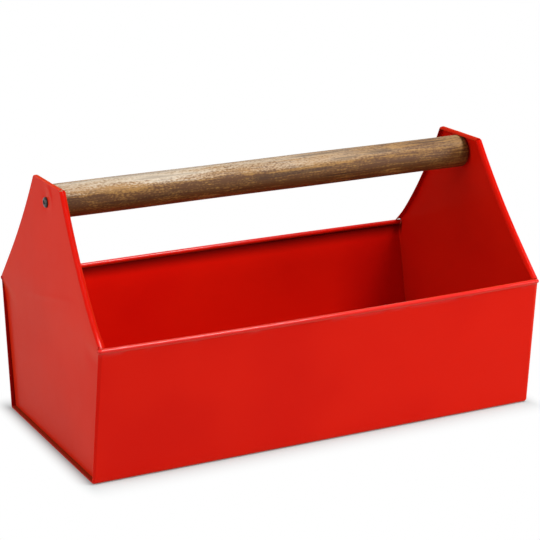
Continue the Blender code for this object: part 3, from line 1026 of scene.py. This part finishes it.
RECESS_LENGTH = (0.1985, 0.1990)       # and sets in over these lengths from the middle of the box
BEHIND_WALL = (0.0012, 0.0016)         # inside, the hollow under the bead is less deep than this
INNER_BEAD = (0.1140, 0.1150)          # and lower than this
UNDER_BEAD = (0.1000, 0.1120)          # the painted shade under the beads, inside, sets in over these heights
OVER_BEAD = (0.116, 0.117)             # and ends over these
NEAR_WALL = (0.004, 0.006)             # and reaches this far in from the wall
INSIDE_LIMITS = (-0.05, 0.0)
FLOOR_LIFT = 0.1                       # a face that looks up counts as inside by this much


def facing_inside(finish, place):
    """1 on inner faces: there the normal's product with the direction away from the middle is below 0."""
    away = {0: place, 1: (1, 1, 0), 2: (0, 0, -FLOOR_LIFT)}
    outward = finish.node("VectorMath", away, operation="MULTIPLY_ADD")
    normal = finish.node("TexCoord").out("Normal")
    product = finish.node("VectorMath", {0: outward, 1: normal}, operation="DOT_PRODUCT")
    return finish.falls(product.out("Value"), *INSIDE_LIMITS)


def make_paint():
    material, finish = new_finish("red_enamel")
    place = finish.place()
    drift = finish.noise(place, DRIFT_SIZE, 2)
    patches = finish.noise(place, PATCH_SIZE, 3)
    peel = finish.noise(place, PEEL_SIZE, 1)
    cells = {"Vector": place, "Scale": SPECK_SIZE, "Randomness": 1.0}
    speck = finish.falls(finish.node("TexVoronoi", cells, feature="F1"), 0, SPECK_REACH)

    sides = finish.sides(place)
    height = sides.out("Z")
    wall_depth = flare_cos * (FLOOR_CORNER + flare * height - sides.out("Y"))
    depth = sides.math("MINIMUM", wall_depth, height)
    # painted shade: a band of depth inside the fold at each end, the rim's recess
    fold = finish.rises(depth, *RECESS_START) * finish.falls(depth, *RECESS_END)
    recess = fold * finish.rises(sides.out("X"), *RECESS_LENGTH)

    marked = finish.node("Attribute", attribute_name="gloss").out("Fac")
    dull_flange = (0 - marked).at_least(0)
    inside = facing_inside(finish, place)
    behind = inside * finish.falls(wall_depth, *BEHIND_WALL) * finish.falls(height, *INNER_BEAD)
    shiny = marked.at_least(0) * (1 - behind)
    dull_inside = inside * (1 - shiny)
    dull = dull_flange.at_least(dull_inside)
    # painted shade: a deeper red inside under the beads, near the wall, where the enamel isn't shiny
    under = finish.rises(height, *UNDER_BEAD) * finish.falls(height, *OVER_BEAD)
    shade = under * finish.falls(wall_depth, *NEAR_WALL) * dull_inside

    paint = finish.mix_colour(finish.rises(drift, *TONE_DRIFT), PAINT_DEEP, PAINT_BRIGHT)
    # the red deepens as painted shade in the recess and, by a share, on the dull flanges
    paint_with_recess_shade = finish.mix_colour(recess.at_least(FLANGE_SHADE_SHARE * dull_flange), paint, PAINTED_RECESS_SHADE)
    pebbles = peel + SPECK_HEIGHT * speck + PATCH_HEIGHT * patches
    finish.surface({
        "Base Color": finish.mix_colour(shade, paint_with_recess_shade, PAINTED_SHADE_UNDER_BEADS),
        "Roughness": HAZE_ROUGHNESS + PATCH_ROUGHNESS * patches + DULL_ROUGHNESS * dull,
        "Specular IOR Level": HAZE_LEVEL,
        "Normal": finish.bump(pebbles, PEEL_HEIGHT, 1),
        "Coat Weight": FACE_GLOSS * (1 - dull) + (BEAD_GLOSS - FACE_GLOSS) * shiny + GLOSS_DRIFT * drift,
        "Coat Roughness": GLOSS_ROUGHNESS,
        "Sheen Weight": SHEEN, "Sheen Roughness": SHEEN_ROUGHNESS, "Sheen Tint": SHEEN_TINT,
    })
    return material


red_enamel = make_paint()
print("finish:", red_enamel.name)

# %% [markdown]
# The dowel is dark-stained, varnished hardwood. Wood grain is long fibres along the dowel, so every
# pattern is a noise stretched along it: broad waves, finer streaks, and a short golden speckle. A
# highlight is painted on its upper front side as a pale band, most of all towards the left end, and the
# top beside it is painted lighter. The band's edge is where a direction across the dowel passes a limit,
# and the speckle and the waves shift that limit, so the edge breaks up.

# %% Stained wood
WOOD_BROWN = rgb(0.085, 0.031, 0.007)
WOOD_GOLD = rgb(0.29, 0.145, 0.034)
# painted highlight: the pale band on the dowel's upper front side
WOOD_PAINTED_HIGHLIGHT = rgb(0.52, 0.43, 0.325)
WOOD_DARK = rgb(0.024, 0.008, 0.003)
GRAIN_STRETCH = (0.055, 1.0, 1.0)      # long fibres
FLECK_STRETCH = (0.50, 1.0, 1.0)
STREAK_SIZE = 700                      # streaks, waves, specks and clouds for each metre across
WAVE_SIZE = 230
SPECKLE_SIZE = 850
CLOUD_SIZE = 70
HIGHLIGHT_SIDE = radians(63)                # the painted highlight looks this far up from the front
HIGHLIGHT_LIMITS = (0.77, 1.06)             # the highlight is painted where the direction passes these limits
LIT_TOP_LIMITS = (0.62, 0.90)            # and the top is painted lighter beside that, between these
RIGHT_END = (-0.10, 0.16)              # the look of the right end sets in over these places along X
RIGHT_HIGHLIGHT_CUT = 0.93                      # share of the painted highlight that the right end doesn't get
SPECKLE_SHIFT = 0.5                     # how much the speckle and the waves shift the limits of the painted highlight
WAVE_SHIFT = 0.6
STREAK_TONE = 0.45                     # weights of the patterns in the tone from brown to gold
CLOUD_TONE = 0.40
SPECKLE_TONE = 0.60
# the top's painted light pushes the tone towards gold by this weight
LIT_TOP_TONE = 0.17
RIGHT_STREAKS = 0.20                   # at the right end this much speckle gives way to streaks
RIGHT_SHADE = 0.3                      # and its painted top light is weaker, and its dark streaks stronger, by this share
GOLD_LIMITS = (0.68, 0.99)
DARK_LIMITS = (0.54, 0.66)
DARK_COVER = 0.35                      # share of the dark tone in the waves' dark parts
WOOD_ROUGHNESS = 0.38
GRAIN_ROUGHNESS = 0.10                 # added where the streaks or the speckle are high
WOOD_SHINE = 0.25
WOOD_RELIEF = 0.0004
WOOD_BUMP = 0.3
STREAK_HEIGHT = 0.6
SPECKLE_HEIGHT = 0.4
DARK_HOLLOW = 0.4


def make_wood():
    material, finish = new_finish("stained_wood")
    place = finish.node("Mapping", {"Vector": finish.place(), "Location": (0, 0, -AXIS_HEIGHT)})
    fibres = finish.node("Mapping", {"Vector": place, "Scale": GRAIN_STRETCH})
    short = finish.node("Mapping", {"Vector": place, "Scale": FLECK_STRETCH})
    streaks = finish.noise(fibres, STREAK_SIZE, 4)
    waves = finish.noise(fibres, WAVE_SIZE, 2)
    speckle = finish.noise(short, SPECKLE_SIZE, 3)
    clouds = finish.noise(short, CLOUD_SIZE, 2)

    part = finish.node("SeparateXYZ", {"Vector": place})
    up, ahead = sin(HIGHLIGHT_SIDE) / DOWEL_RADIUS, cos(HIGHLIGHT_SIDE) / DOWEL_RADIUS
    towards = part.out("Z") * up - part.out("Y") * ahead
    right = finish.rises(part.out("X"), *RIGHT_END)
    # painted light: a pale highlight band on the upper front side, and the top beside it painted lighter
    upper = finish.rises(towards, *LIT_TOP_LIMITS)
    highlight_edge = towards + SPECKLE_SHIFT * (speckle - 0.5) + WAVE_SHIFT * (waves - 0.5)
    pale_share = finish.rises(highlight_edge, *HIGHLIGHT_LIMITS) * (1 - RIGHT_HIGHLIGHT_CUT * right)
    dark = finish.rises(waves, *DARK_LIMITS)

    fleck = SPECKLE_TONE * speckle + RIGHT_STREAKS * right * (streaks - speckle)
    painted_top_light = LIT_TOP_TONE * upper * (1 - RIGHT_SHADE * right)
    tone = STREAK_TONE * streaks + CLOUD_TONE * clouds + fleck + painted_top_light
    stained = finish.mix_colour(finish.rises(tone, *GOLD_LIMITS), WOOD_BROWN, WOOD_GOLD)
    pale = finish.mix_colour(pale_share, stained, WOOD_PAINTED_HIGHLIGHT)
    relief = STREAK_HEIGHT * streaks + SPECKLE_HEIGHT * speckle - DARK_HOLLOW * dark
    finish.surface({
        "Base Color": finish.mix_colour(dark * (DARK_COVER + RIGHT_SHADE * right), pale, WOOD_DARK),
        "Roughness": WOOD_ROUGHNESS + GRAIN_ROUGHNESS * streaks + GRAIN_ROUGHNESS * speckle,
        "Specular IOR Level": WOOD_SHINE,
        "Normal": finish.bump(relief, WOOD_RELIEF, WOOD_BUMP),
    })
    return material


stained_wood = make_wood()
print("finish:", stained_wood.name)

# %% [markdown]
# The screws are blackened steel: nearly black, half glossy, with faint turning marks round the head.
# Rings round the axis come from the distance to it, which Vector Math measures.

# %% Blackened steel
STEEL_BLACK = rgb(0.010, 0.011, 0.012)
STEEL_WORN = rgb(0.045, 0.046, 0.048)
TURNING_MARKS = 5200                   # radians of the rings for each metre of radius
GRIME_SIZE = 700
WORN_GRIME = (0.5, 0.7)                # the black is worn where the grime is between these
WORN_COVER = 0.6
STEEL_METAL = 0.35
STEEL_ROUGHNESS = 0.24
GRIME_ROUGHNESS = 0.16
STEEL_RELIEF = 0.0001
STEEL_BUMP = 0.2
MARK_HEIGHT = 0.2                      # of the rings, beside the grime's


def make_steel():
    material, finish = new_finish("blackened_steel")
    place = finish.place()
    centred = {"Vector": place, "Location": (0, 0, -AXIS_HEIGHT), "Scale": (0, 1, 1)}
    across = finish.node("Mapping", centred)
    radius = finish.node("VectorMath", {0: across}, operation="LENGTH").out("Value")
    marks = finish.node("Math", {0: radius * TURNING_MARKS}, operation="SINE")
    grime = finish.noise(place, GRIME_SIZE, 3)
    pale_share = finish.rises(grime, *WORN_GRIME)
    finish.surface({
        "Base Color": finish.mix_colour(pale_share * WORN_COVER, STEEL_BLACK, STEEL_WORN),
        "Roughness": STEEL_ROUGHNESS + GRIME_ROUGHNESS * grime,
        "Metallic": STEEL_METAL,
        "Normal": finish.bump(MARK_HEIGHT * marks + grime, STEEL_RELIEF, STEEL_BUMP),
    })
    return material


blackened_steel = make_steel()
print("finish:", blackened_steel.name)

# %% [markdown]
# Each fine piece now takes its finish, stands for the piece of the working model that it replaces, and
# rides on the body that carries it. The screws turn with the handle.

# %% Dress the frame
DRESSED = (
    (trough, "body_wrap", "box", "red_paint", red_enamel),
    (left_panel, "left_end_panel", "box", "red_paint", red_enamel),
    (right_panel, "right_end_panel", "box", "red_paint", red_enamel),
    (dowel, "wooden_handle", "handle", "stained_wood", stained_wood),
    (left_screw, "left_screw", "handle", "black_screw", blackened_steel),
    (right_screw, "right_screw", "handle", "black_screw", blackened_steel),
)
for piece, node, body, slot, material in DRESSED:
    piece.data.materials.clear()
    piece.data.materials.append(material)
    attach(piece, body)
    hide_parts(node)
    print(piece.name, "stands for", node)

# %% [markdown]
# The studio is a pale floor under a white surround. A white background is a matter of what the camera
# and the gloss see, so Light Path gives those rays plain white, while the light that falls on the box
# stays at a level at which a colour looks as it is written. The floor keeps its real shading near the
# box, where the soft contact shadow is, and fades to plain white further out. How near a place on the
# floor is follows from its distance to the rectangle that the box stands on. The fade is quicker beside
# the ends, where the photograph's shadow is narrow.

# %% Floor and surround
FLOOR_HALF_SIZE = 4.0
FLOOR_DROP = 0.0002
FLOOR_PAPER = rgb(0.47, 0.54, 0.54)
SURROUND_LIGHT = 0.28
WHITE_NEAR = 0.15                      # share of plain white in the floor beside the box
FADE_END = 0.035                       # in front of the box the floor is plain white from here
END_FADE = 2.3                         # beside its ends the fade is quicker by this factor


def sees_background(finish):
    """1 for camera, glossy and transmission rays, which see the background."""
    path = finish.node("LightPath")
    either = path.out("Is Camera Ray").at_least(path.out("Is Glossy Ray"))
    return either.at_least(path.out("Is Transmission Ray"))


def make_floor():
    ends = np.array([-FLOOR_HALF_SIZE, FLOOR_HALF_SIZE])
    x, y = np.meshgrid(ends, ends)
    mesh = mesh_of_grids("studio_floor", [stack([x, y, 0 * x - FLOOR_DROP])])
    face_outwards(mesh, (0, 0, 1))
    floor = add_object("studio_floor", mesh)
    material, finish = new_finish("floor_paper")
    sides = finish.sides(finish.place())
    beside = (sides.out("X") - HALF_FLOOR).at_least(0)
    ahead = (sides.out("Y") - FLOOR_CORNER).at_least(0)
    distance = ((END_FADE * beside) ** 2 + ahead**2) ** 0.5
    near = (1 - distance * (1 / FADE_END)).at_least(0)
    share = 1 - (1 - WHITE_NEAR) * near**2
    paper = finish.node("BsdfDiffuse", {"Color": FLOOR_PAPER})
    white = finish.node("Emission", {"Color": rgb(1, 1, 1), "Strength": 1.0})
    shown = finish.node("MixShader", {0: share * sees_background(finish), 1: paper, 2: white})
    finish.node("OutputMaterial", {"Surface": shown})
    mesh.materials.append(material)
    return floor


def make_surround():
    world = bpy.data.worlds.new("studio_surround")
    world.use_nodes = True
    bpy.context.scene.world = world
    finish = Finish(world.node_tree)
    strength = SURROUND_LIGHT + (1 - SURROUND_LIGHT) * sees_background(finish)
    light = finish.node("Background", {"Color": rgb(1, 1, 1), "Strength": strength})
    finish.node("OutputWorld", {"Surface": light})


make_floor()
make_surround()
print("floor and surround ready")

# %% [markdown]
# One long lamp overhead, to the right and a little to the front, draws the bright line on the bead and
# the gloss in the pale band on the handle, whose paleness is partly a highlight painted into the wood.
# Its place follows from the mirror rule: it stands where a ray from the camera goes after meeting the
# top of the bead's left half. A wide lamp far to the right lights the front wall. A weaker one on the
# left, which the front wall barely sees, lights the end panel. So the rounded edges between them, which
# look towards the camera, stay darker than either.

# %% Lamps
BOX_MIDDLE = Vector((0, 0, 0.11))


def area_lamp(name, place, width, height, power, across):
    """Rectangular lamp that faces the middle of the box, its width turned along across."""
    data = bpy.data.lights.new(name, "AREA")
    data.shape = "RECTANGLE"
    data.size = width
    data.size_y = height
    data.energy = power
    back = (Vector(place) - BOX_MIDDLE).normalized()
    right = (Vector(across) - back * back.dot(Vector(across))).normalized()
    stand(add_object(name, data), Vector(place), right, back)


area_lamp("overhead_strip", (0.48, -0.70, 1.42), 0.38, 0.95, 24, (1, 0, 0))
area_lamp("right_key", (1.25, -1.15, 0.42), 0.7, 0.7, 13, (1, 0, 0))
area_lamp("left_fill", (-0.80, -0.15, 0.42), 0.5, 0.5, 3.1, (0, 1, 0))
print("lamps ready")

# %% [markdown]
# Last, the colours are shown as they are.

# %% Finish
bpy.context.scene.view_settings.view_transform = "Standard"
